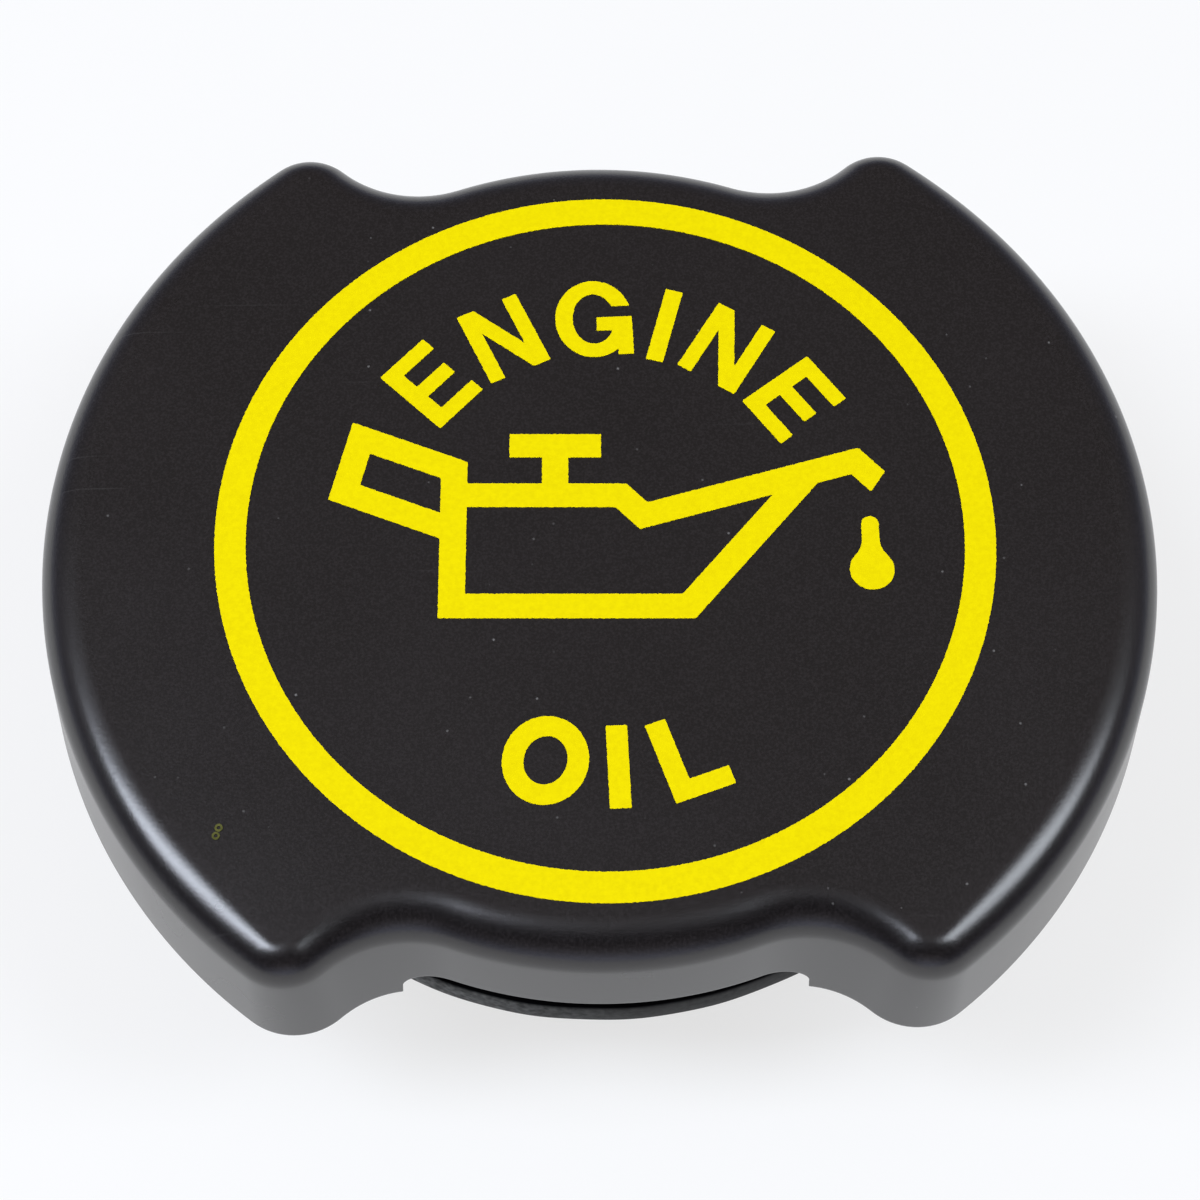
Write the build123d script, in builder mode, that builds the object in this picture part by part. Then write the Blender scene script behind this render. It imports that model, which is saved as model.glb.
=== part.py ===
"""Oil filler cap: a moulded grip shell on a bayonet closure with a rubber gasket.

Millimetres. The cap lies top up on the end of its boss. The origin is on the axis at that end, +Z is up, and
+X runs along the two long lobes.
"""

import os
from math import acos, atan2, cos, degrees, radians, sin, sqrt

from build123d import *

os.makedirs("parts", exist_ok=True)

# Grip outline, seen from above, at the open end of the skirt
lobe_radius = 35.0
bulge_radius = 28.0
tip_radius = 4.25
tip_angle = 52.7
foot_radius = 6.7

# Shell of the grip
face_rise = 13.2
skirt_depth = 9.6
skirt_wall = 1.9
face_plate = 2.5
draft_angle = 5.4
edge_radius = 2.45
relief_width = 24.8
relief_height = 2.6

# Collar and ribs inside the shell
collar_radius = 22.0
collar_wall = 2.0
rib_thickness = 1.5
rib_spread = 24.0

# Closure under the shell
boss_length = 13.0
boss_wall = 2.1
boss_lead_in = 1.0
flange_thickness = 2.0
flange_clearance = 0.3
spigot_height = 4.0
spigot_wall = 1.9
spigot_clearance = 0.1
key_count = 4
key_width = 4.0
key_height = 2.8
key_clearance = 0.1
cup_rib_thickness = 1.6
cup_rib_height = 4.5

# Bayonet ears
ear_reach = 2.5
ear_width = 20.0
ear_thickness = 3.0
ear_gap = 5.5
ramp_length = 8.0
ramp_drop = 1.6

# Gasket
gasket_thickness = 2.8
gasket_overhang = 1.1
gasket_width = 6.3
gasket_fit = 0.1
gasket_edge = 0.4

# Printed legend, with its centre a little off the axis of the moulding
ink = 0.06
print_shift = 0.3
print_turn = -0.7
ring_radius = 23.8
ring_width = 1.9

# Oil can: the centre lines of a stroke of one width
can_stroke = 1.62
can_left = -9.3
can_base = -5.1
can_lid = 2.36
lid_end = 0.95
neck_x = 2.34
neck_y = 0.97
spout_slope = 16.1
spout_length = 13.6
back_foot = 5.02
back_slope = 50.0
lip_slope = 46.0
lip_outside = 1.8
lip_inside = 2.15
handle_top = 4.1
handle_base = -0.02
handle_slope = 21.0
handle_reach = 6.2
handle_lean = 14.0
filler_x = -3.09
filler_y = 5.79
filler_width = 5.66

# Drop under the lip of the spout
drop_x = 16.15
drop_y = -2.65
drop_radius = 1.36
drop_neck = 0.54
drop_height = 3.04
drop_flare = 1.5

# Letters of the upper word, which stand on an arc
upper_radius = 14.88
upper_height = 5.25
upper_stem = 1.1
upper_bar = 0.97
e_width = 3.8
e_middle = 3.5
n_width = 4.1
n_diagonal = 1.15
g_width = 4.85
g_height = 5.55
g_shelf = 2.25
g_shelf_top = 0.1
g_mouth = 0.78
e_angles = (136.8, 37.5)
n_angles = (115.4, 59.0)
g_angle = 92.7
upper_i_angle = 75.3

# Letters of the lower word, which hang on an arc
lower_radius = 15.45
lower_height = 5.2
lower_stem = 1.27
lower_bar = 1.18
o_width = 5.1
o_height = 5.6
l_width = 3.74
l_shift = 0.45
o_angle = -103.4
lower_i_angle = -87.4
l_angle = -69.8

# Heights above the end of the boss
sealing_z = boss_length
flange_z = sealing_z + gasket_thickness
deck_z = flange_z + flange_thickness
face_z = sealing_z + face_rise
skirt_z = face_z - skirt_depth
ear_z = sealing_z - ear_gap - ear_thickness

# Radii that follow from the ones above
inner_radius = bulge_radius - skirt_wall
flange_radius = inner_radius - flange_clearance
gasket_radius = flange_radius + gasket_overhang
boss_radius = gasket_radius - gasket_width - gasket_fit
ear_radius = boss_radius + ear_reach
cup_radius = boss_radius - boss_wall
spigot_radius = collar_radius - collar_wall - spigot_clearance

# The plane of the legend
legend = Plane((print_shift, 0, face_z), x_dir=(cos(radians(print_turn)), sin(radians(print_turn)), 0))


def polar(radius, angle):
    """A plan point at a radius and an angle in degrees."""
    return (radius * cos(radians(angle)), radius * sin(radians(angle)))


def grip_outline():
    """The grip from above: arcs alone, each tangent to the next, of lobes, tips, feet and bulges."""
    tip_reach = lobe_radius - tip_radius
    foot_reach = bulge_radius + foot_radius
    spacing = tip_radius + foot_radius
    between = acos((tip_reach**2 + foot_reach**2 - spacing**2) / (2 * tip_reach * foot_reach))
    foot_angle = tip_angle + degrees(between)
    tip, foot = polar(tip_reach, tip_angle), polar(foot_reach, foot_angle)
    touch = degrees(atan2(foot[1] - tip[1], foot[0] - tip[0]))
    with BuildSketch() as grip:
        with BuildLine():
            CenterArc(tip, tip_radius, tip_angle, touch - tip_angle)
            CenterArc(foot, foot_radius, touch - 180, foot_angle - touch)
            mirror(about=Plane.YZ)
            mirror(about=Plane.XZ)
            for turn in (0, 180):
                CenterArc((0, 0), lobe_radius, turn - tip_angle, 2 * tip_angle)
                CenterArc((0, 0), bulge_radius, turn + foot_angle, 180 - 2 * foot_angle)
        make_face()
    return grip.sketch


def key_bars(width, reach):
    """Radial bars at the key positions, between the axes."""
    with PolarLocations(0, key_count, start_angle=180 / key_count):
        Rectangle(reach, width, align=(Align.MIN, Align.CENTER))


outline = grip_outline()

# Shell: a drafted block with a rounded edge, hollowed from below
with BuildPart() as outer_cap:
    with BuildSketch(Plane.XY.offset(skirt_z)):
        add(outline)
    extrude(amount=skirt_depth, taper=draft_angle)
    fillet(outer_cap.faces().sort_by(Axis.Z)[-1].edges(), edge_radius)
    with BuildSketch(Plane.XY.offset(skirt_z)):
        offset(outline, amount=-skirt_wall)
    extrude(amount=skirt_depth - face_plate, taper=draft_angle, mode=Mode.SUBTRACT)

    # The collar that takes the spigot, with a slot for each key
    with BuildSketch(Plane.XY.offset(deck_z)):
        Circle(collar_radius)
        Circle(collar_radius - collar_wall, mode=Mode.SUBTRACT)
    extrude(until=Until.NEXT)
    with BuildSketch(Plane.XY.offset(deck_z)):
        key_bars(key_width + 2 * key_clearance, collar_radius + collar_wall)
    extrude(amount=key_height + key_clearance, mode=Mode.SUBTRACT)

    # Ribs from the collar to the skirt, three in each lobe
    with BuildSketch(Plane.XY.offset(deck_z)):
        for side in (0, 180):
            for turn in (-rib_spread, 0, rib_spread):
                start = polar(collar_radius - collar_wall / 2, side + turn)
                with Locations(Location((*start, 0), (0, 0, side + turn))):
                    Rectangle(lobe_radius - collar_radius, rib_thickness, align=(Align.MIN, Align.CENTER))
    extrude(until=Until.NEXT)

    # The skirt is cut back over the bulges, where it shows the gasket
    with BuildSketch(Plane.XY.offset(skirt_z)):
        Rectangle(relief_width, 2 * lobe_radius)
        Circle(inner_radius - skirt_wall, mode=Mode.SUBTRACT)
    extrude(amount=relief_height, mode=Mode.SUBTRACT)

# Closure: ears with ramps first, so that the boss closes over their roots
with BuildPart() as bayonet_insert:
    with BuildSketch(Plane.XY.offset(ear_z)):
        Circle(ear_radius)
        Rectangle(2 * ear_radius, ear_width, mode=Mode.INTERSECT)
    extrude(amount=ear_thickness)
    for side in (1, -1):
        ramp = Plane((0, side * ear_width / 2, ear_z + ear_thickness), x_dir=(0, -side, 0), z_dir=(side, 0, 0))
        with BuildSketch(ramp):
            with BuildLine():
                Polyline((0, 0), (ramp_length, 0), (0, ramp_drop), close=True)
            make_face()
        extrude(amount=ear_radius, mode=Mode.SUBTRACT)
    with BuildSketch():
        Circle(boss_radius)
    extrude(amount=flange_z)
    chamfer(bayonet_insert.faces().sort_by(Axis.Z)[0].edges(), boss_lead_in)
    with BuildSketch(Plane.XY.offset(flange_z)):
        Circle(flange_radius)
    extrude(amount=flange_thickness)
    with BuildSketch():
        Circle(cup_radius)
        with PolarLocations(0, 2, angular_range=180):
            Rectangle(2 * boss_radius, cup_rib_thickness, mode=Mode.SUBTRACT)
    extrude(amount=flange_z, mode=Mode.SUBTRACT)
    with BuildSketch():
        Circle(cup_radius)
    extrude(amount=flange_z - cup_rib_height, mode=Mode.SUBTRACT)
    with BuildSketch(Plane.XY.offset(deck_z)):
        Circle(spigot_radius)
        key_bars(key_width, collar_radius)
        Circle(collar_radius, mode=Mode.INTERSECT)
        Circle(spigot_radius - spigot_wall, mode=Mode.SUBTRACT)
    extrude(amount=key_height)
    with BuildSketch(Plane.XY.offset(deck_z)):
        Circle(spigot_radius)
        Circle(spigot_radius - spigot_wall, mode=Mode.SUBTRACT)
    extrude(amount=spigot_height)

# Gasket: a flat rubber ring between the flange and the neck
with BuildPart() as sealing_gasket:
    with BuildSketch(Plane.XY.offset(sealing_z)):
        Circle(gasket_radius)
        Circle(boss_radius + gasket_fit, mode=Mode.SUBTRACT)
    extrude(amount=gasket_thickness)
    fillet(sealing_gasket.edges().filter_by(GeomType.CIRCLE).sort_by(SortBy.RADIUS)[-2:], gasket_edge)

with BuildPart() as printed_ring:
    with BuildSketch(legend):
        Circle(ring_radius)
        Circle(ring_radius - ring_width, mode=Mode.SUBTRACT)
    extrude(amount=ink)


def beside(point, angle, along, across):
    """A point moved along a direction in degrees, and across it to the left."""
    c, s = cos(radians(angle)), sin(radians(angle))
    return (point[0] + along * c - across * s, point[1] + along * s + across * c)


def crossing(p, p_angle, q, q_angle):
    """Where the line through p and the line through q meet, each with its direction in degrees."""
    apart = (q[0] - p[0]) * sin(radians(q_angle)) - (q[1] - p[1]) * cos(radians(q_angle))
    return beside(p, p_angle, apart / sin(radians(q_angle - p_angle)), 0)


def loop_stroke(*points):
    """A closed line drawn with the can's stroke, with sharp corners."""
    with BuildSketch() as loop:
        with BuildLine():
            Polyline(*points, close=True)
        make_face()
    offset(loop.sketch, amount=can_stroke / 2, kind=Kind.INTERSECTION)
    offset(loop.sketch, amount=-can_stroke / 2, kind=Kind.INTERSECTION, mode=Mode.SUBTRACT)


# Oil can: a handle, a body with its spout and lip, and a filler, in one field of ink
half_stroke = can_stroke / 2
neck = (neck_x, neck_y)
spout_end = crossing(neck, spout_slope, (back_foot, can_base), back_slope)
bend = beside(neck, spout_slope, spout_length, 0)
handle_corner = beside((can_left, handle_top), 180 - handle_slope, handle_reach, 0)
handle_foot = crossing(handle_corner, 90 - handle_lean, (can_left, handle_base), 180 - handle_slope)
with BuildPart() as printed_oil_can:
    with BuildSketch(legend) as can_field:
        loop_stroke((can_left, handle_top), handle_corner, handle_foot, (can_left, handle_base))
        with BuildSketch(mode=Mode.PRIVATE) as can_body:
            loop_stroke((can_left, can_base), (can_left, can_lid), (lid_end, can_lid), neck, spout_end,
                        (back_foot, can_base))
        add(can_body.sketch)
        with BuildLine():
            Polyline(
                beside(spout_end, spout_slope, 0, half_stroke),
                crossing(beside(neck, spout_slope, 0, half_stroke), spout_slope,
                         beside(bend, -lip_slope, 0, half_stroke), -lip_slope),
                beside(bend, -lip_slope, lip_outside, half_stroke),
                beside(bend, -lip_slope, lip_inside, -half_stroke),
                crossing(beside(neck, spout_slope, 0, -half_stroke), spout_slope,
                         beside(bend, -lip_slope, 0, -half_stroke), -lip_slope),
                beside(spout_end, spout_slope, 0, -half_stroke),
                close=True,
            )
        make_face()
        with Locations((filler_x, filler_y)):
            Rectangle(filler_width, can_stroke)
            Rectangle(can_stroke, filler_y - can_lid, align=(Align.CENTER, Align.MAX))
    extrude(amount=ink)

# Drop: a round bulb that flares into a neck with a round end
flare_x = drop_neck + drop_flare
flare_y = sqrt((drop_radius + drop_flare) ** 2 - flare_x**2)
flare_touch = degrees(atan2(flare_y, flare_x))
with BuildSketch() as drop_shape:
    with BuildLine():
        CenterArc((flare_x, flare_y), drop_flare, 180, flare_touch)
        Line((drop_neck, flare_y), (drop_neck, drop_height))
        mirror(about=Plane.YZ)
        CenterArc((0, 0), drop_radius, 180 - flare_touch, 180 + 2 * flare_touch)
        CenterArc((0, drop_height), drop_neck, 0, 180)
    make_face()
with BuildPart() as printed_oil_drop:
    with BuildSketch(legend):
        with Locations((drop_x, drop_y)):
            add(drop_shape.sketch)
    extrude(amount=ink)


def standing(angle):
    """The place of a letter that stands on the upper arc."""
    return Locations(Location((*polar(upper_radius, angle), 0), (0, 0, angle - 90)))


def hanging(angle):
    """The place of a letter that reads upright below the middle."""
    return Locations(Location((*polar(lower_radius, angle), 0), (0, 0, angle + 90)))


def bar(left, bottom, width, height):
    """An upright bar of a letter, from its lower left corner."""
    with Locations((left, bottom)):
        Rectangle(width, height, align=(Align.MIN, Align.MIN))


def letter_e():
    left, bottom = -e_width / 2, -upper_height / 2
    bar(left, bottom, upper_stem, upper_height)
    bar(left, bottom, e_width, upper_bar)
    bar(left, -upper_bar / 2, e_middle, upper_bar)
    bar(left, upper_height / 2 - upper_bar, e_width, upper_bar)


def letter_n():
    right, top = n_width / 2, upper_height / 2
    bar(-right, -top, upper_bar, upper_height)
    bar(right - upper_bar, -top, upper_bar, upper_height)
    Polygon((-right, top), (n_diagonal - right, top), (right, -top), (right - n_diagonal, -top), align=None)


def letter_g():
    right, bottom = g_width / 2, -upper_height / 2
    Ellipse(g_width / 2, g_height / 2)
    Ellipse(g_width / 2 - upper_stem, g_height / 2 - upper_bar, mode=Mode.SUBTRACT)
    with Locations((0, g_shelf_top)):
        Rectangle(g_width, g_mouth, align=(Align.MIN, Align.MIN), mode=Mode.SUBTRACT)
    bar(right - g_shelf, g_shelf_top - upper_bar, g_shelf, upper_bar)
    bar(right - upper_bar, bottom, upper_bar, g_shelf_top - bottom)


with BuildPart() as printed_engine_letters:
    for letter, angles in ((letter_e, e_angles), (letter_n, n_angles), (letter_g, (g_angle,))):
        for angle in angles:
            with BuildSketch(legend):
                with standing(angle):
                    letter()
            extrude(amount=ink)
    with BuildSketch(legend):
        with standing(upper_i_angle):
            Rectangle(upper_stem, upper_height)
    extrude(amount=ink)

with BuildPart() as printed_oil_letters:
    with BuildSketch(legend):
        with hanging(o_angle):
            Ellipse(o_width / 2, o_height / 2)
            Ellipse(o_width / 2 - lower_stem, o_height / 2 - lower_stem, mode=Mode.SUBTRACT)
        with hanging(lower_i_angle):
            Rectangle(lower_stem, lower_height)
        with hanging(l_angle):
            bar(-l_width / 2 - l_shift, -lower_height / 2, lower_stem, lower_height)
            bar(-l_width / 2 - l_shift, -lower_height / 2, l_width, lower_bar)
    extrude(amount=ink)

for name, piece in {
    "outer_cap": outer_cap,
    "bayonet_insert": bayonet_insert,
    "sealing_gasket": sealing_gasket,
    "printed_ring": printed_ring,
    "printed_oil_can": printed_oil_can,
    "printed_oil_drop": printed_oil_drop,
    "printed_engine_letters": printed_engine_letters,
    "printed_oil_letters": printed_oil_letters,
}.items():
    piece.part.label = name
    export_step(piece.part, f"parts/{name}.step")
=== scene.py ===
# %% [markdown]
# # Dressing an oil filler cap
#
# The cap is a moulded black grip with two long lobes, printed in yellow, on a bayonet closure with a
# rubber gasket. Its CAD model is loaded first and stays fixed. Every piece below is a surface worked out
# with numpy in the same frame, in millimetres that are turned to metres at the end, so that it lands where
# the CAD node is that it stands for.

# %% Load the fixed frame
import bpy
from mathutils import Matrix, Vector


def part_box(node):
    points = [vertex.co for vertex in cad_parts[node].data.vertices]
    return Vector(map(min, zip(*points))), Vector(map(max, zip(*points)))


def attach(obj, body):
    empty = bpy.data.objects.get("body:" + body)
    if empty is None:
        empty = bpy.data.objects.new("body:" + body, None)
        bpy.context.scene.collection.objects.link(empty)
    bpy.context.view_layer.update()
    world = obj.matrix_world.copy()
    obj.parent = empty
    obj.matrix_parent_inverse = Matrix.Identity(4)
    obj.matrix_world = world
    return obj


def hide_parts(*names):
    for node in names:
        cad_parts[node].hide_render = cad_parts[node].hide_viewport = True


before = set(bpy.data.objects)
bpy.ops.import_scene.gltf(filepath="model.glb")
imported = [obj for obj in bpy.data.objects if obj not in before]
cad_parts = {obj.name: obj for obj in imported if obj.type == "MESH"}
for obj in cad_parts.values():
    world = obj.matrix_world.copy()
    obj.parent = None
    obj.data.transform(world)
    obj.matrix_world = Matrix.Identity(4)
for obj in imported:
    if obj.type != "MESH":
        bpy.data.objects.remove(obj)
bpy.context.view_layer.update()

import bmesh
import bpy
import numpy as np
from mathutils import Matrix

MM = 0.001
print("CAD nodes:", ", ".join(sorted(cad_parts)))

# %% [markdown]
# ## Sizes
#
# Heights and outer radii come from the boxes of the CAD nodes. What a box can't say, such as the radius of
# a lobe's tip, is a named value in millimetres, the same as in the solid.

# %% Sizes from the CAD nodes
grip_low, grip_high = (np.array(corner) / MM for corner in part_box("outer_cap"))
gasket_low, gasket_high = (np.array(corner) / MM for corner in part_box("sealing_gasket"))
insert_low, insert_high = (np.array(corner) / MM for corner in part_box("bayonet_insert"))
ink_low, ink_high = (np.array(corner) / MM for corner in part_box("printed_ring"))

skirt_z, face_z = grip_low[2], grip_high[2]
sealing_z, flange_z = gasket_low[2], gasket_high[2]
lobe_radius = grip_high[0]
gasket_radius = gasket_high[0]
flange_radius = insert_high[0]
bulge_radius, tip_radius, foot_radius = 28.0, 4.25, 6.7
tip_angle = np.radians(52.7)
draft = np.radians(5.4)
skirt_wall, face_plate = 1.9, 2.5
flange_thickness = 2.0
deck_z = flange_z + flange_thickness
ceiling_z = face_z - face_plate
print("skirt", skirt_z, "face", face_z, "gasket", sealing_z, "to", flange_z, "mm")

# %% [markdown]
# ## Helpers for materials
#
# A material is a small graph of nodes. One function turns a colour, written in sRGB hex as people pick it,
# to the linear values that a renderer works in. Another adds any node, sets its properties, and sets or
# links its inputs.


# %% Helpers for materials
def linear(colour):
    """sRGB hex to linear: a channel up to 0.04045 is divided by 12.92, and a higher one is curved.

    The curve is the channel plus 0.055, over 1.055, to the power 2.4.
    """
    channel = np.array([int(colour[i:i + 2], 16) for i in (1, 3, 5)]) / 255
    bright = ((channel + 0.055) / 1.055) ** 2.4
    return (*np.where(channel <= 0.04045, channel / 12.92, bright).tolist(), 1.0)


def add(tree, kind, inputs=None, **settings):
    """Add a node: settings are its properties, and inputs are values of sockets, or outputs to link."""
    node = tree.nodes.new("ShaderNode" + kind)
    for name, value in settings.items():
        setattr(node, name, value)
    for name, value in (inputs or {}).items():
        if isinstance(value, bpy.types.NodeSocket):
            tree.links.new(value, node.inputs[name])
        else:
            node.inputs[name].default_value = value
    return node.outputs


def new_material(name, **sockets):
    """A material with a Principled shader, whose sockets that are the same all over are set directly."""
    material = bpy.data.materials.new(name)
    material.use_nodes = True
    tree = material.node_tree
    shader = tree.nodes["Principled BSDF"]
    for socket, value in sockets.items():
        shader.inputs[socket.replace("_", " ")].default_value = value
    return material, tree, shader


# %% [markdown]
# ## Helpers for meshes
#
# Most pieces are a surface rolled up from a grid of points: the columns go round, and the rows follow a
# section. A ring closes on itself. A plate, a boss or a bar closes at a point at each end. Numpy makes all
# the points at once, and the faces are index arithmetic.


# %% Helpers for meshes
def grid_faces(rows, columns, closed_rows):
    """Quads of a grid whose columns close on themselves, and whose rows do too if closed_rows is true."""
    row = np.arange(rows if closed_rows else rows - 1)[:, None]
    column = np.arange(columns)[None, :]
    below, beside = (row + 1) % rows, (column + 1) % columns
    corners = [(row, column), (below, column), (below, beside), (row, beside)]
    return np.stack([r * columns + c for r, c in corners], axis=-1).reshape(-1, 4).tolist()


def closed_ring(points):
    """Points and faces of a grid of rows by columns that closes both ways, as a torus does."""
    rows, columns = points.shape[:2]
    return points.reshape(-1, 3), grid_faces(rows, columns, True)


def closed_ends(points):
    """Points and faces of a grid whose first and last rows are closed by a fan round their mean point."""
    rows, columns = points.shape[:2]
    column = np.arange(columns)
    beside = (column + 1) % columns
    first = rows * columns
    start = first - columns
    first_fan = np.stack([np.full(columns, first), column, beside], axis=-1).tolist()
    last_fan = np.stack([np.full(columns, first + 1), start + beside, start + column], axis=-1).tolist()
    faces = grid_faces(rows, columns, False) + first_fan + last_fan
    middles = points[[0, -1]].mean(axis=1)
    return np.vstack([points.reshape(-1, 3), middles]), faces


def joined(parts):
    """Put several closed surfaces in one mesh: each one's faces count on from the points before it."""
    starts = np.cumsum([0] + [len(points) for points, _ in parts])
    faces = [[int(start) + i for i in face] for start, (_, part) in zip(starts, parts) for face in part]
    return np.vstack([points for points, _ in parts]), faces


def new_piece(name, points, faces, material, slot, node=None, sharp=35):
    """Make a piece of millimetre points, smooth except where faces meet at over sharp degrees."""
    mesh = bpy.data.meshes.new(name)
    mesh.from_pydata((np.asarray(points) * MM).tolist(), [], faces)
    work = bmesh.new()
    work.from_mesh(mesh)
    bmesh.ops.recalc_face_normals(work, faces=work.faces)
    work.to_mesh(mesh)
    work.free()
    mesh.shade_smooth()
    mesh.set_sharp_from_angle(angle=np.radians(sharp))
    mesh.materials.append(material)
    piece = bpy.data.objects.new(name, mesh)
    bpy.context.scene.collection.objects.link(piece)
    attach(piece, "root")
    if node:
        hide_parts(node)
    print(name, len(mesh.vertices), "points,", len(mesh.polygons), "faces")


# %% [markdown]
# ## The outline of the grip
#
# A hand grip like this is drawn with arcs that touch: a large one over each lobe, a tight one at each tip,
# a hollow one at each foot and a large one over each bulge. Along an arc, the direction of the surface
# turns evenly with the distance, so one interpolation gives the direction everywhere. A point is then its
# arc's centre plus the radius in that direction. The hollow foot has a negative radius.

# %% Outline by arcs
tip_reach = lobe_radius - tip_radius
foot_reach = bulge_radius + foot_radius
spacing = tip_radius + foot_radius
between = np.arccos((tip_reach**2 + foot_reach**2 - spacing**2) / (2 * tip_reach * foot_reach))
foot_angle = tip_angle + between
tip_centre = tip_reach * np.array([np.cos(tip_angle), np.sin(tip_angle)])
foot_centre = foot_reach * np.array([np.cos(foot_angle), np.sin(foot_angle)])
touch_angle = np.arctan2(*(foot_centre - tip_centre)[::-1])
arc_centres = np.array([[0, 0], tip_centre, foot_centre, [0, 0]])
arc_radii = np.array([lobe_radius, tip_radius, -foot_radius, bulge_radius])
turning = np.array([0, tip_angle, touch_angle, foot_angle, np.pi / 2])
arc_ends = np.concatenate([[0], np.cumsum(np.abs(np.diff(turning) * arc_radii))])


def quarter_outline(distance):
    """Points and outward directions of a quarter of the outline, at distances from a lobe's end."""
    direction = np.interp(distance, arc_ends, turning)
    arc = np.clip(np.searchsorted(arc_ends, distance, side="right") - 1, 0, len(arc_radii) - 1)
    outward = np.stack([np.cos(direction), np.sin(direction)], axis=-1)
    return arc_centres[arc] + arc_radii[arc, None] * outward, outward


def all_round(quarter, signs):
    """Carry a quarter's values round the cap: each second quarter runs backwards, with its own signs."""
    parts = [quarter[:-1], quarter[:0:-1], quarter[:-1], quarter[:0:-1]]
    return np.concatenate([part * sign for part, sign in zip(parts, signs)])


relief_half = 12.15
plain_steps, relief_steps = 160, 45
relief_turn = np.arccos((relief_half - foot_centre[0]) / -foot_radius)
relief_at = arc_ends[2] + foot_radius * (touch_angle - relief_turn)
near_relief = relief_at + np.linspace(-0.9, 2.0, relief_steps)
distance = np.concatenate([np.linspace(0, arc_ends[-1], plain_steps), near_relief])
distance = np.unique(distance.round(4))
plan_signs = np.array([(1, 1), (-1, 1), (-1, -1), (1, -1)])
outline, outward = (all_round(quarter, plan_signs) for quarter in quarter_outline(distance))
past_relief = all_round(distance - relief_at, [1] * 4)
columns = len(outline)
print("outline of", columns, "columns, cut back from", relief_at.round(2), "mm along each quarter")

# %% [markdown]
# ## The lower edge of the skirt
#
# Over each bulge the skirt is cut back, so that it clears the gasket. The height of the edge is a function
# of the distance past the start of the cut: a small rounding at the bottom, a step, and a wide rounding
# like a quarter of an ellipse above.

# %% Height of the skirt's edge
relief_height = 2.6
corner_run, corner_rise = 2.8, 1.7
end_round = 0.15
before = np.clip(1 + past_relief / end_round, 0, 1)
after = np.clip(1 - past_relief / corner_run, 0, 1)
low_edge = end_round * (1 - np.sqrt(1 - before**2))
high_edge = relief_height - corner_rise * (1 - np.sqrt(1 - after**2))
skirt_edge = skirt_z + np.where(past_relief > 0, high_edge, low_edge)

# %% [markdown]
# ## The section of the shell
#
# The section starts at the middle of the face, goes out to the rounded edge, down the drafted wall, round
# the lower edge and back up inside to the ceiling. The edge is a quarter of an ellipse, as the long soft
# highlights along the lobes show. It is wider than it is high, but not round the tips, where those
# highlights run closer to the outline. Each row is an offset from the outline and a height.

# %% Section of the shell
from_tip = all_round(distance - (arc_ends[1] + arc_ends[2]) / 2, [1] * 4)
lobe_run, tip_narrowing, tip_spread = 2.75, 0.6, 5
edge_run = lobe_run - tip_narrowing * np.exp(-(from_tip / tip_spread) ** 2)
edge_drop = 2.45
lip, fillet = 0.2, 0.6
face_steps, edge_steps, wall_steps, inner_steps, ceiling_steps = 14, 30, 20, 8, 6


def draft_offset(z):
    """The offset of a drafted wall at a height: minus the draft's tangent times the height up the skirt."""
    return -np.tan(draft) * (z - skirt_z)


def shell_row(offset, z):
    """A row of points at an offset from the outline and a height, each one value or one per column."""
    plan = outline + np.broadcast_to(offset, columns)[:, None] * outward
    return np.column_stack([plan, np.broadcast_to(z, columns)])


def flat_rows(edge_row, shares):
    """Flat rows that shrink towards the axis, at shares of the way out to an edge row."""
    return [edge_row * [share, share, 1] for share in shares]


wall_turn = np.arctan(np.tan(draft) * edge_drop / edge_run)
wall_top = face_z - edge_drop * (1 - np.sin(wall_turn))
ellipse_offset = draft_offset(wall_top) - edge_run * np.cos(wall_turn)
edge_rows = [shell_row(ellipse_offset + edge_run * np.sin(a), face_z - edge_drop * (1 - np.cos(a)))
             for a in np.linspace(0, 1, edge_steps)[:, None] * (np.pi / 2 - wall_turn)]
face_rows = flat_rows(edge_rows[0], np.linspace(0.04, 0.98, face_steps))
wall_rows = []
for share in 1 - np.linspace(1, 0, wall_steps)[1:] ** 1.5:
    z = wall_top + (skirt_edge + lip - wall_top) * share
    wall_rows.append(shell_row(draft_offset(z), z))
lip_turns = np.radians([30, 60, 90])
lip_outside = draft_offset(skirt_edge)
lip_inside = draft_offset(skirt_edge) - skirt_wall
lip_rows = [shell_row(lip_outside - lip * (1 - np.cos(a)), skirt_edge + lip * (1 - np.sin(a)))
            for a in lip_turns]
lip_rows += [shell_row(lip_inside + lip * (1 - np.cos(a)), skirt_edge + lip * (1 - np.sin(a)))
             for a in [*lip_turns[::-1], 0]]
inner_rows = []
for share in np.linspace(0, 1, inner_steps)[1:]:
    z = skirt_edge + lip + (ceiling_z - fillet - skirt_edge - lip) * share
    inner_rows.append(shell_row(draft_offset(z) - skirt_wall, z))
inner_rows += [shell_row(draft_offset(ceiling_z - fillet) - skirt_wall - fillet * (1 - np.cos(a)),
                         ceiling_z - fillet * (1 - np.sin(a))) for a in lip_turns]
ceiling_rows = flat_rows(inner_rows[-1], np.linspace(0.95, 0.1, ceiling_steps))
shell_rows = np.stack(face_rows + edge_rows + wall_rows + lip_rows + inner_rows + ceiling_rows)

# %% [markdown]
# ## Black moulded plastic
#
# The grip is a filled nylon, moulded in a tool with a fine sparked finish. It reads as a deep, slightly
# warm black with a soft gloss: the white table shows grey in its walls, and a lamp draws a soft line along
# its edge. Years in an engine bay leave pale specks of dust, a few hairline scratches and patches that are
# a little duller. All of it is noise on Object coordinates, so it stays where it is when the cap turns. A
# pattern's scale is one over its size in millimetres: clouds of 14, grain of 0.15, one speck in 1.3.


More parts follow.
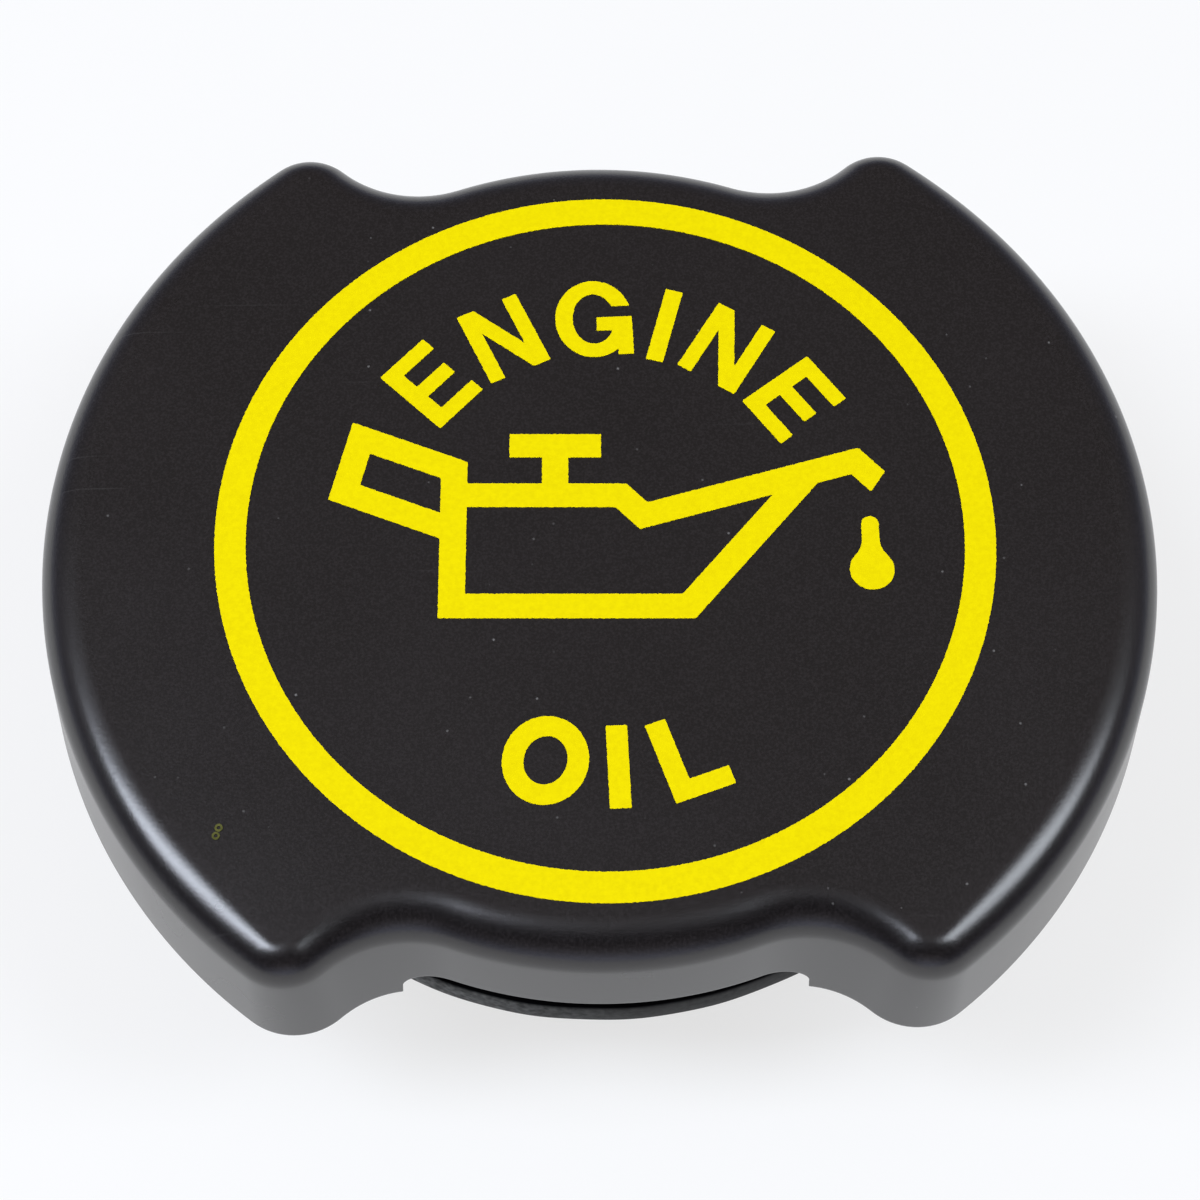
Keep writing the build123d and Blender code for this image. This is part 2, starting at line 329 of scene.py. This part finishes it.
# %% Moulded plastic
def moulded_plastic(name, colour, warm_colour, roughness):
    """Black plastic with spark grain, slow changes of tint and gloss, dust specks and hair scratches."""
    cloud_size, grain_size, speck_spacing, patch_size = 14, 0.15, 1.3, 9
    material, tree, shader = new_material(name, IOR=1.58, Specular_IOR_Level=0.64)
    place = add(tree, "TexCoord")["Object"]
    cloud = add(tree, "TexNoise", {"Vector": place, "Scale": 1 / (cloud_size * MM), "Detail": 3.0})["Fac"]
    grain = add(tree, "TexNoise", {"Vector": place, "Scale": 1 / (grain_size * MM), "Detail": 2.0})["Fac"]
    tint = add(tree, "MixRGB", {"Fac": cloud, "Color1": linear(colour), "Color2": linear(warm_colour)})[0]
    pit = add(tree, "MapRange", {"Value": grain, "From Min": 0.42, "From Max": 0.68, "To Max": 0.55})[0]
    tint = add(tree, "MixRGB", {"Fac": pit, "Color1": tint, "Color2": linear("#2A2627")})[0]

    cells = add(tree, "TexVoronoi", {"Vector": place, "Scale": 1 / (speck_spacing * MM)})
    near = add(tree, "MapRange", {"Value": cells["Distance"], "From Min": 0.03, "From Max": 0.08,
                                  "To Min": 0.55, "To Max": 0.0})[0]
    draw = add(tree, "SeparateColor", {"Color": cells["Color"]})["Red"]
    chosen = add(tree, "MapRange", {"Value": draw, "From Min": 0.72, "From Max": 1.0})[0]
    dust = add(tree, "Math", {0: near, 1: chosen}, operation="MULTIPLY")[0]

    hair_turn, hair_scale = (0, 0, 0.9), (60, 2600, 60)
    turned = add(tree, "Mapping", {"Vector": place, "Rotation": hair_turn, "Scale": hair_scale})[0]
    hair = add(tree, "TexNoise", {"Vector": turned, "Scale": 1.0, "Detail": 1.0})["Fac"]
    patch = add(tree, "TexNoise", {"Vector": place, "Scale": 1 / (patch_size * MM), "Detail": 1.0})["Fac"]
    line = add(tree, "MapRange", {"Value": hair, "From Min": 0.72, "From Max": 0.78, "To Max": 0.06})[0]
    where = add(tree, "MapRange", {"Value": patch, "From Min": 0.55, "From Max": 0.7})[0]
    scratch = add(tree, "Math", {0: line, 1: where}, operation="MULTIPLY")[0]

    marks = add(tree, "Math", {0: dust, 1: scratch}, operation="ADD", use_clamp=True)[0]
    marked = add(tree, "MixRGB", {"Fac": marks, "Color1": tint, "Color2": linear("#9A9896")})[0]
    tree.links.new(marked, shader.inputs["Base Color"])
    gloss = add(tree, "MapRange", {"Value": cloud, "From Min": 0.3, "From Max": 0.7, "To Min": roughness,
                                   "To Max": roughness + 0.03})[0]
    tree.links.new(gloss, shader.inputs["Roughness"])
    bump = add(tree, "Bump", {"Height": grain, "Strength": 0.3, "Distance": 0.02 * MM})[0]
    tree.links.new(bump, shader.inputs["Normal"])
    return material


grip_plastic = moulded_plastic("black_moulded_nylon", "#0D0B0C", "#141011", 0.245)
new_piece("grip_shell", *closed_ends(shell_rows), grip_plastic, "grip_plastic", "outer_cap")

# %% [markdown]
# ## Rounded sections and bars
#
# Inside parts are turned shapes or bars. A section is a list of corners, and each corner is rounded by a
# quadratic curve that starts a little before it and ends a little after it. A turned shape carries its
# section round the axis, and a bar carries a rounded rectangle along a line.


# %% Sections, turned shapes and bars
def rounded(corners, reach, closed, steps=5):
    """Replace each corner by a quadratic curve that starts and ends at a reach from it."""
    corners = np.asarray(corners, float)
    before = np.roll(corners, 1, axis=0) - corners
    after = np.roll(corners, -1, axis=0) - corners
    reach = np.broadcast_to(np.asarray(reach, float), len(corners))[:, None]
    start = corners + reach * before / np.hypot(*before.T)[:, None]
    end = corners + reach * after / np.hypot(*after.T)[:, None]
    if not closed:
        start[[0, -1]] = end[[0, -1]] = corners[[0, -1]]
    t = np.linspace(0, 1, steps)[None, :, None]
    curve = (1 - t) ** 2 * start[:, None] + 2 * t * (1 - t) * corners[:, None] + t**2 * end[:, None]
    return curve.reshape(-1, 2)


def turned_shape(section, count=240):
    """Carry a section of radius and height round the axis: x, y are the radius times cosine and sine."""
    turn = np.linspace(0, 2 * np.pi, count, endpoint=False)
    radius, z = section[:, :1], section[:, 1:]
    return np.stack([radius * np.cos(turn), radius * np.sin(turn), z + 0 * turn], axis=-1)


def radial_bar(angle, start, end, width, low, high, reach=0.25):
    """A bar with rounded edges from one radius to another: its section's two axes are across and up."""
    half = width / 2
    section = rounded([(-half, low), (half, low), (half, high), (-half, high)], reach, True)
    along = np.array([start, end])[:, None]
    across, up = section[None, :, 0], section[None, :, 1]
    x = along * np.cos(angle) - across * np.sin(angle)
    y = along * np.sin(angle) + across * np.cos(angle)
    return closed_ends(np.stack([x, y, up + 0 * along], axis=-1))


# %% [markdown]
# ## Collar and ribs inside the grip
#
# The closure's spigot sits in a collar under the face, with four slots for its keys, and three ribs in
# each lobe carry the turning force from the skirt to the collar. The collar is a ring whose lower edge
# steps up at the slots. Collar and ribs run 0.2 mm into the plate above them, so that no gap shows.

# %% Collar and ribs
collar_radius, collar_wall = 22.0, 2.0
key_width, key_height = 4.0, 2.8
slot_play, slot_ramp = 0.1, 0.2
buried = 0.2
collar_columns = 720
turn = np.linspace(0, 2 * np.pi, collar_columns, endpoint=False)
quarter_turn = (turn + np.pi / 4) % (np.pi / 2) - np.pi / 4
from_key = np.abs(np.abs(quarter_turn) - np.pi / 4) * collar_radius
slot_edge = np.clip((key_width / 2 + slot_ramp - from_key) / slot_ramp, 0, 1)
collar_low = deck_z + slot_edge * (key_height + slot_play)
collar_bore = collar_radius - collar_wall
collar_corners = [(collar_radius, 0), (collar_radius, 1), (collar_bore, 1), (collar_bore, 0)]
collar_section = rounded(collar_corners, [0.12, 0.02, 0.02, 0.12], True)
radius, share = collar_section[:, :1], collar_section[:, 1:]
collar_points = np.stack([radius * np.cos(turn), radius * np.sin(turn),
                          collar_low + share * (ceiling_z + buried - collar_low)], axis=-1)
rib_thickness, rib_spread = 1.5, 24
rib_end = lobe_radius - skirt_wall + buried
rib_turns = np.radians([-rib_spread, 0, rib_spread])
rib_angles = [side + rib_turn for side in (0, np.pi) for rib_turn in rib_turns]
ribs = [radial_bar(angle, collar_radius - 1, rib_end, rib_thickness, deck_z, ceiling_z + buried)
        for angle in rib_angles]
collar_and_ribs = joined([closed_ring(collar_points)] + ribs)
new_piece("grip_collar_and_ribs", *collar_and_ribs, grip_plastic, "grip_plastic", "outer_cap")

# %% [markdown]
# ## The bayonet closure
#
# Below the grip is a second moulding: a flange that backs the gasket, a hollow boss that enters the filler
# neck, and two ears with ramps that pull the cap down on its gasket as it is turned. The body is one turned
# section, from the top of its axis round to the underside. Each ear is a bar whose ends follow two circles
# and whose top falls along the ramp. A cross of ribs stiffens the bottom of the cup.

# %% Closure
boss_radius, boss_wall, lead_in = 20.5, 2.1, 1.0
spigot_radius, spigot_wall, spigot_height = 19.9, 1.9, 4.0
cup_radius = boss_radius - boss_wall
spigot_z = deck_z + spigot_height
end_radius = 1
body_corners = [
    (end_radius, deck_z), (spigot_radius - spigot_wall, deck_z), (spigot_radius - spigot_wall, spigot_z),
    (spigot_radius, spigot_z), (spigot_radius, deck_z), (flange_radius, deck_z), (flange_radius, flange_z),
    (boss_radius, flange_z), (boss_radius, lead_in), (boss_radius - lead_in, 0), (cup_radius, 0),
    (cup_radius, flange_z), (end_radius, flange_z),
]
body_rounding = 0.2
body = closed_ends(turned_shape(rounded(body_corners, body_rounding, False)))

ear_radius, ear_width, ear_thickness, ear_low = 23.0, 20.0, 3.0, 4.5
ramp_length, ramp_drop = 8.0, 1.6
ear_steps = 61


def bayonet_ear(side):
    """An ear: along its width it lies between two circles, and between its bottom and its ramp."""
    across = np.linspace(-ear_width / 2, ear_width / 2, ear_steps)[:, None]
    top = ear_low + ear_thickness - ramp_drop * np.clip((across - ear_width / 2) / ramp_length + 1, 0, 1)
    section = rounded([(0, 0), (1, 0), (1, 1), (0, 1)], [0.02, 0.08, 0.08, 0.02], True)
    inside, outside = (np.sqrt(radius**2 - across**2) for radius in (boss_radius - 1, ear_radius))
    x = inside + section[:, 0] * (outside - inside)
    z = ear_low + section[:, 1] * (top - ear_low)
    return closed_ends(np.stack([side * x, side * across + 0 * x, z], axis=-1))


bite = 0.5
cup_rib_width, cup_rib_height = 1.6, 4.5
keys = [radial_bar(np.pi / 4 + k * np.pi / 2, spigot_radius - bite, collar_radius, key_width,
                   deck_z - buried, deck_z + key_height) for k in range(4)]
cup_ribs = [radial_bar(angle, bite - cup_radius, cup_radius + bite, cup_rib_width,
                       flange_z - cup_rib_height, flange_z + buried) for angle in (0, np.pi / 2)]
insert_plastic = moulded_plastic("black_closure_nylon", "#141314", "#191717", 0.36)
closure = joined([body, bayonet_ear(1), bayonet_ear(-1)] + keys + cup_ribs)
new_piece("bayonet_closure", *closure, insert_plastic, "insert_plastic", "bayonet_insert")

# %% [markdown]
# ## The rubber gasket
#
# A flat ring of nitrile rubber. Only its edge shows, below the front bulge, with a black line above it,
# where its upper corner is worn round and has painted shade: plain black colour and no gloss. It is matt
# and grainy, and dust makes it greyer on one side. Its edge is a little uneven and stands out 0.1 mm
# towards the front left, as a gasket's does that has been squeezed.


# %% Gasket
def nitrile_rubber(name):
    """Matt black rubber, dust mottled towards -X, with painted shade on its upper corner: black, no gloss.
    """
    mottle_size, painted_shade_depth, shade_fade_depth = 0.45, 0.65, 0.85
    material, tree, shader = new_material(name, IOR=1.52, Roughness=0.7)
    place = add(tree, "TexCoord")["Object"]
    mottle = add(tree, "TexNoise", {"Vector": place, "Scale": 1 / (mottle_size * MM), "Detail": 4.0})["Fac"]
    axes = add(tree, "SeparateXYZ", {"Vector": place})
    dusty = add(tree, "MapRange", {"Value": axes["X"], "From Min": -12 * MM, "From Max": 2 * MM,
                                   "To Min": 1.0, "To Max": 0.13})[0]
    # Painted shade: the top 0.65 mm is plain black, fading out by 0.85 mm down, as shade under the skirt.
    below_painted_shade = add(tree, "MapRange", {"Value": axes["Z"], "From Min": (flange_z - painted_shade_depth) * MM,
                                 "From Max": (flange_z - shade_fade_depth) * MM})[0]
    speck = add(tree, "MapRange", {"Value": mottle, "From Min": 0.3, "From Max": 0.8})[0]
    share = add(tree, "Math", {0: speck, 1: dusty}, operation="MULTIPLY")[0]
    share = add(tree, "Math", {0: share, 1: below_painted_shade}, operation="MULTIPLY")[0]
    tint = add(tree, "MixRGB", {"Fac": share, "Color1": linear("#0A0A0B"), "Color2": linear("#7C7D7A")})[0]
    # The painted shade also takes the gloss off the upper corner.
    shine = add(tree, "Math", {0: below_painted_shade, 1: 0.3}, operation="MULTIPLY")[0]
    tree.links.new(shine, shader.inputs["Specular IOR Level"])
    tree.links.new(tint, shader.inputs["Base Color"])
    bump = add(tree, "Bump", {"Height": mottle, "Strength": 0.3, "Distance": 0.04 * MM})[0]
    tree.links.new(bump, shader.inputs["Normal"])
    return material


gasket_inside = 20.6
gasket_corners = [
    (gasket_inside, flange_z), (gasket_inside, sealing_z),
    (gasket_radius, sealing_z), (gasket_radius, sealing_z + 1.2),
    (gasket_radius - 0.1, flange_z - 0.7), (gasket_radius - 0.8, flange_z),
]
gasket_section = rounded(gasket_corners, [0.1, 0.1, 0.15, 0.5, 0.3, 0.1], True)
gasket_columns = 480
gasket_points = turned_shape(gasket_section, gasket_columns)
still_radius, growth = 24, 2
wave_height, stand_out, stand_out_turn = 0.015, 0.12, -2.3
turn = np.arctan2(gasket_points[..., 1], gasket_points[..., 0])
radius = np.hypot(gasket_points[..., 0], gasket_points[..., 1])
outer = np.clip((radius - still_radius) / growth, 0, 1)
wave = wave_height * (np.cos(7 * turn + 1) + np.cos(16 * turn + 4) + np.cos(29 * turn))
swell = (wave + stand_out * np.cos(turn - stand_out_turn)) * outer
gasket_points[..., 0] += swell * np.cos(turn)
gasket_points[..., 1] += swell * np.sin(turn)
rubber = nitrile_rubber("black_nitrile_rubber")
new_piece("gasket_ring", *closed_ring(gasket_points), rubber, "gasket_rubber", "sealing_gasket")

# %% [markdown]
# ## Yellow print
#
# The legend is pad printed: a film of opaque yellow ink with a slightly ragged edge, because the pad
# bridges the grain of the plastic. Its fields are the CAD nodes' own outlines. Each outline is divided
# finely, its corners are softened as ink softens them, and the line is moved in and out by a sum of waves
# before it is filled again as a flat curve with a thickness, which is made a mesh.


# %% Ink, and the outlines of the printed nodes
def pad_ink(name, colour, second_colour):
    """Opaque satin ink: its film is uneven at 0.3 mm, which mottles its colour and its surface."""
    mottle_size = 0.3
    material, tree, shader = new_material(name, IOR=1.5, Specular_IOR_Level=0.04, Roughness=0.6)
    place = add(tree, "TexCoord")["Object"]
    mottle = add(tree, "TexNoise", {"Vector": place, "Scale": 1 / (mottle_size * MM), "Detail": 3.0})["Fac"]
    thin = add(tree, "MapRange", {"Value": mottle, "From Min": 0.35, "From Max": 0.7})[0]
    tint = add(tree, "MixRGB", {"Fac": thin, "Color1": linear(colour), "Color2": linear(second_colour)})[0]
    tree.links.new(tint, shader.inputs["Base Color"])
    bump = add(tree, "Bump", {"Height": mottle, "Strength": 0.12, "Distance": 0.03 * MM})[0]
    tree.links.new(bump, shader.inputs["Normal"])
    return material


def rim_lines(node):
    """The closed lines round the top of a printed node, as arrays of plan points in millimetres."""
    work = bmesh.new()
    work.from_mesh(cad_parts[node].data)
    bmesh.ops.remove_doubles(work, verts=work.verts, dist=0.001 * MM)
    sides = [face for face in work.faces if face.normal.z < 0.5]
    bmesh.ops.delete(work, geom=sides, context="FACES")
    inside = [edge for edge in work.edges if not edge.is_boundary]
    bmesh.ops.delete(work, geom=inside, context="EDGES_FACES")
    mesh = bpy.data.meshes.new("rim")
    work.to_mesh(mesh)
    work.free()
    rim = bpy.data.objects.new("rim", mesh)
    bpy.context.scene.collection.objects.link(rim)
    bpy.ops.object.select_all(action="DESELECT")
    bpy.context.view_layer.objects.active = rim
    rim.select_set(True)
    bpy.ops.object.convert(target="CURVE")
    lines = []
    for spline in rim.data.splines:
        points = np.empty(len(spline.points) * 4)
        spline.points.foreach_get("co", points)
        lines.append(points.reshape(-1, 4)[:, :2] / MM)
    bpy.data.objects.remove(rim)
    return lines


rng = np.random.default_rng(7)
print_step, print_ragged, wave_count = 0.06, 0.008, 40
longest_wave, shortest_wave = 2.5, 0.25


def ragged(line):
    """Divide a closed line evenly, soften its corners, and move it along its normal by a sum of waves."""
    closed = np.vstack([line, line[:1]])
    along = np.concatenate([[0], np.cumsum(np.hypot(*np.diff(closed, axis=0).T))])
    stations = np.linspace(0, along[-1], int(along[-1] / print_step), endpoint=False)
    even = np.stack([np.interp(stations, along, closed[:, k]) for k in (0, 1)], axis=-1)
    soft = (np.roll(even, 1, axis=0) + 2 * even + np.roll(even, -1, axis=0)) / 4
    tangent = np.roll(soft, -1, axis=0) - np.roll(soft, 1, axis=0)
    normal = np.stack([tangent[:, 1], -tangent[:, 0]], axis=-1) / np.hypot(*tangent.T)[:, None]
    waves = rng.integers(along[-1] / longest_wave, along[-1] / shortest_wave, wave_count)
    phases = rng.uniform(0, 2 * np.pi, wave_count)
    turn = 2 * np.pi * stations / along[-1]
    noise = np.cos(turn[:, None] * waves + phases).sum(axis=1) / np.sqrt(wave_count / 2)
    return soft + print_ragged * noise[:, None] * normal


# %% Printed fields
ink = pad_ink("yellow_pad_ink", "#FBE700", "#F3DE00")
film = ink_high[2] - ink_low[2]


def filled_field(name, lines, material, node=None):
    """Fill closed lines as a flat curve with the ink's thickness, as a mesh that lies on the face."""
    curve = bpy.data.curves.new(name, "CURVE")
    curve.dimensions = "2D"
    curve.fill_mode = "BOTH"
    curve.extrude = film * MM / 2
    for line in lines:
        spline = curve.splines.new("POLY")
        spline.points.add(len(line) - 1)
        spline.points.foreach_set("co", np.column_stack([line * MM, 0 * line + [0, 1]]).ravel())
        spline.use_cyclic_u = True
    flat = bpy.data.objects.new(name + "_curve", curve)
    bpy.context.scene.collection.objects.link(flat)
    mesh = bpy.data.meshes.new_from_object(flat)
    bpy.data.objects.remove(flat)
    work = bmesh.new()
    work.from_mesh(mesh)
    bmesh.ops.translate(work, verts=work.verts, vec=(0, 0, (face_z + film / 2) * MM))
    bmesh.ops.remove_doubles(work, verts=work.verts, dist=0.0005 * MM)
    bmesh.ops.recalc_face_normals(work, faces=work.faces)
    work.to_mesh(mesh)
    work.free()
    mesh.name = name
    mesh.materials.clear()
    mesh.materials.append(material)
    piece = bpy.data.objects.new(name, mesh)
    bpy.context.scene.collection.objects.link(piece)
    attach(piece, "root")
    if node:
        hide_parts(node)
    print(name, len(mesh.vertices), "points from", len(lines), "lines")


for field in ("ring", "oil_can", "oil_drop", "engine_letters", "oil_letters"):
    node = "printed_" + field
    filled_field("ink_" + field, [ragged(line) for line in rim_lines(node)], ink, node)

# %% [markdown]
# ## A mark beside the ring
#
# Near the left lobe is a tiny olive mark. It is made as two touching rings of thin ink that lets the black
# through. Each is an outer and an inner circle, filled between as the legend is.

# %% Ink mark
thin_ink = pad_ink("thin_yellow_ink", "#55552A", "#6A6A38")
mark_points = 24
turn = np.linspace(0, 2 * np.pi, mark_points, endpoint=False)
circle = np.stack([np.cos(turn), np.sin(turn)], axis=-1)
mark_centres, mark_radii = ((-22.41, -18.93), (-22.56, -19.42)), (0.24, 0.11)
mark_lines = [np.array(centre) + radius * circle for centre in mark_centres for radius in mark_radii]
filled_field("ink_mark", mark_lines, thin_ink)

# %% [markdown]
# ## White table
#
# A large pale floor, which keeps the cap's soft shadow. For rays from the camera, and for those that a
# glossy or clear surface sends on, part of its light is a plain white of strength 1, so that the walls of
# the cap reflect the same white that the eye sees.

# %% Floor
floor_half, white_share = 2.6, 0.72
floor_mesh = bpy.data.meshes.new("white_table")
floor_corners = np.array([(-1, -1, 0), (1, -1, 0), (1, 1, 0), (-1, 1, 0)]) * floor_half
floor_mesh.from_pydata(floor_corners.tolist(), [], [[0, 1, 2, 3]])
laminate = linear("#F8F8F8")
table_paint, tree, shader = new_material("white_laminate", Base_Color=laminate, Roughness=0.7,
                                         Specular_IOR_Level=0.2)
rays = add(tree, "LightPath")
seen = add(tree, "Math", {0: rays["Is Camera Ray"], 1: rays["Is Glossy Ray"]}, operation="ADD")[0]
seen = add(tree, "Math", {0: seen, 1: rays["Is Transmission Ray"]}, operation="ADD", use_clamp=True)[0]
share = add(tree, "Math", {0: seen, 1: white_share}, operation="MULTIPLY")[0]
white = add(tree, "Emission", {"Color": (1, 1, 1, 1), "Strength": 1.0})[0]
both = add(tree, "MixShader", {0: share, 1: shader.outputs[0], 2: white})[0]
tree.links.new(both, tree.nodes["Material Output"].inputs["Surface"])
floor_mesh.materials.append(table_paint)
floor = bpy.data.objects.new("white_table", floor_mesh)
bpy.context.scene.collection.objects.link(floor)

# %% [markdown]
# ## Soft light
#
# Two soft boxes, high on the left and on the right, draw the long highlights along the edges. Their
# directions and sizes were worked back from those highlights. A large faint panel overhead fills the
# shadows and has no reflection of its own. A lamp is given by its direction and its radiance, and its power
# is the radiance times pi times its area.


# %% Lamps
def soft_lamp(name, away, reach, width, height, radiance, colour):
    """A lamp that faces the cap from a direction, with its height turned as near to Y as it can be."""
    away = np.array(away) / np.linalg.norm(away)
    tall = np.array([0, 1, 0]) - away[1] * away
    tall /= np.linalg.norm(tall)
    pose = np.eye(4)
    pose[:3, 0], pose[:3, 1], pose[:3, 2] = np.cross(tall, away), tall, away
    pose[:3, 3] = away * reach + [0, 0, face_z * MM]
    data = bpy.data.lights.new(name, "AREA")
    data.shape = "RECTANGLE"
    data.size, data.size_y = width, height
    data.energy = radiance * np.pi * width * height
    data.color = linear(colour)[:3]
    lamp = bpy.data.objects.new(name, data)
    lamp.matrix_world = Matrix(pose)
    lamp.visible_camera = False
    bpy.context.scene.collection.objects.link(lamp)
    print(name, data.energy, "W")
    return lamp


soft_lamp("lamp_left", (-0.545, -0.075, 0.835), 0.6, 0.36, 0.15, 15.0, "#E9F1FF")
soft_lamp("lamp_right", (0.585, -0.08, 0.805), 0.6, 0.32, 0.15, 9.3, "#EEF6FF")
panel_fill = soft_lamp("panel_fill", (0, 0, 1), 1.3, 1.6, 1.6, 0.35, "#FFFFFF")
panel_fill.visible_glossy = False

# %% [markdown]
# ## The room
#
# The world is a smooth function of direction: a low bright front, dark above the camera, and a dim grey
# room behind. It has no picture in it. Past the edge of the table, the camera itself sees one pale colour.

# %% World
world = bpy.data.worlds.new("studio")
bpy.context.scene.world = world
world.use_nodes = True
tree = world.node_tree
toward = add(tree, "SeparateXYZ", {0: add(tree, "TexCoord")["Generated"]})
low = add(tree, "MapRange", {"Value": toward["Z"], "From Min": 0.05, "From Max": 0.8, "To Min": 1.0,
                             "To Max": 0.0}, interpolation_type="SMOOTHSTEP")[0]
front = add(tree, "MapRange", {"Value": toward["Y"], "From Min": -0.3, "From Max": -0.95},
            interpolation_type="SMOOTHSTEP")[0]
side = add(tree, "Math", {0: toward["X"]}, operation="ABSOLUTE")[0]
middle = add(tree, "MapRange", {"Value": side, "From Min": 0.12, "From Max": 0.5, "To Min": 1.0,
                                "To Max": 0.15}, interpolation_type="SMOOTHSTEP")[0]
glow = add(tree, "Math", {0: low, 1: front}, operation="MULTIPLY")[0]
glow = add(tree, "Math", {0: glow, 1: middle}, operation="MULTIPLY")[0]
room = add(tree, "MapRange", {"Value": toward["Y"], "From Min": -0.45, "From Max": 0.1, "To Min": 0.03,
                              "To Max": 0.2}, interpolation_type="SMOOTHSTEP")[0]
horizon = add(tree, "MapRange", {"Value": toward["Z"], "From Min": 0.0, "From Max": 0.35, "To Min": 0.3,
                                 "To Max": 0.0}, interpolation_type="SMOOTHSTEP")[0]
room = add(tree, "Math", {0: room, 1: horizon}, operation="ADD")[0]
front_strength = 0.65
total = add(tree, "Math", {0: glow, 1: front_strength, 2: room}, operation="MULTIPLY_ADD")[0]
height = add(tree, "MapRange", {"Value": toward["Z"], "From Min": 0.1, "From Max": 0.7})[0]
air = add(tree, "MixRGB", {"Fac": height, "Color1": linear("#DCE2FF"), "Color2": linear("#FFF0EA")})[0]
background = tree.nodes["Background"]
tree.links.new(air, background.inputs["Color"])
tree.links.new(total, background.inputs["Strength"])
paper = add(tree, "Background", {"Color": linear("#EEEEEF"), "Strength": 1.0})[0]
eye = add(tree, "LightPath")["Is Camera Ray"]
sky = add(tree, "MixShader", {0: eye, 1: background.outputs[0], 2: paper})[0]
tree.links.new(sky, tree.nodes["World Output"].inputs["Surface"])
bpy.context.scene.view_settings.view_transform = "Standard"

# %% [markdown]
# ## Camera
#
# The photograph looks down on the face from the front. The camera's place, aim, roll and lens were found
# from the ellipse that the printed ring makes in it.

# %% Camera
camera_place = np.array([-2.12, -71.18, 171.44])
camera_aim = np.array([-0.11, -4.68, face_z])
camera_roll = np.radians(0.94)
camera_lens = 79.545
forward = (camera_aim - camera_place) / np.linalg.norm(camera_aim - camera_place)
level = np.cross(forward, [0, 0, 1]) / np.hypot(*forward[:2])
above = np.cross(level, forward)
right = np.cos(camera_roll) * level + np.sin(camera_roll) * above
pose = np.eye(4)
pose[:3, 0], pose[:3, 1], pose[:3, 2] = right, np.cross(right, forward), -forward
pose[:3, 3] = camera_place * MM
camera_data = bpy.data.cameras.new("camera")
camera_data.lens = camera_lens
camera_data.sensor_width = 36.0
camera_data.clip_start = 0.01
camera_data.clip_end = 20.0
camera = bpy.data.objects.new("camera", camera_data)
camera.matrix_world = Matrix(pose)
bpy.context.scene.collection.objects.link(camera)
bpy.context.scene.camera = camera
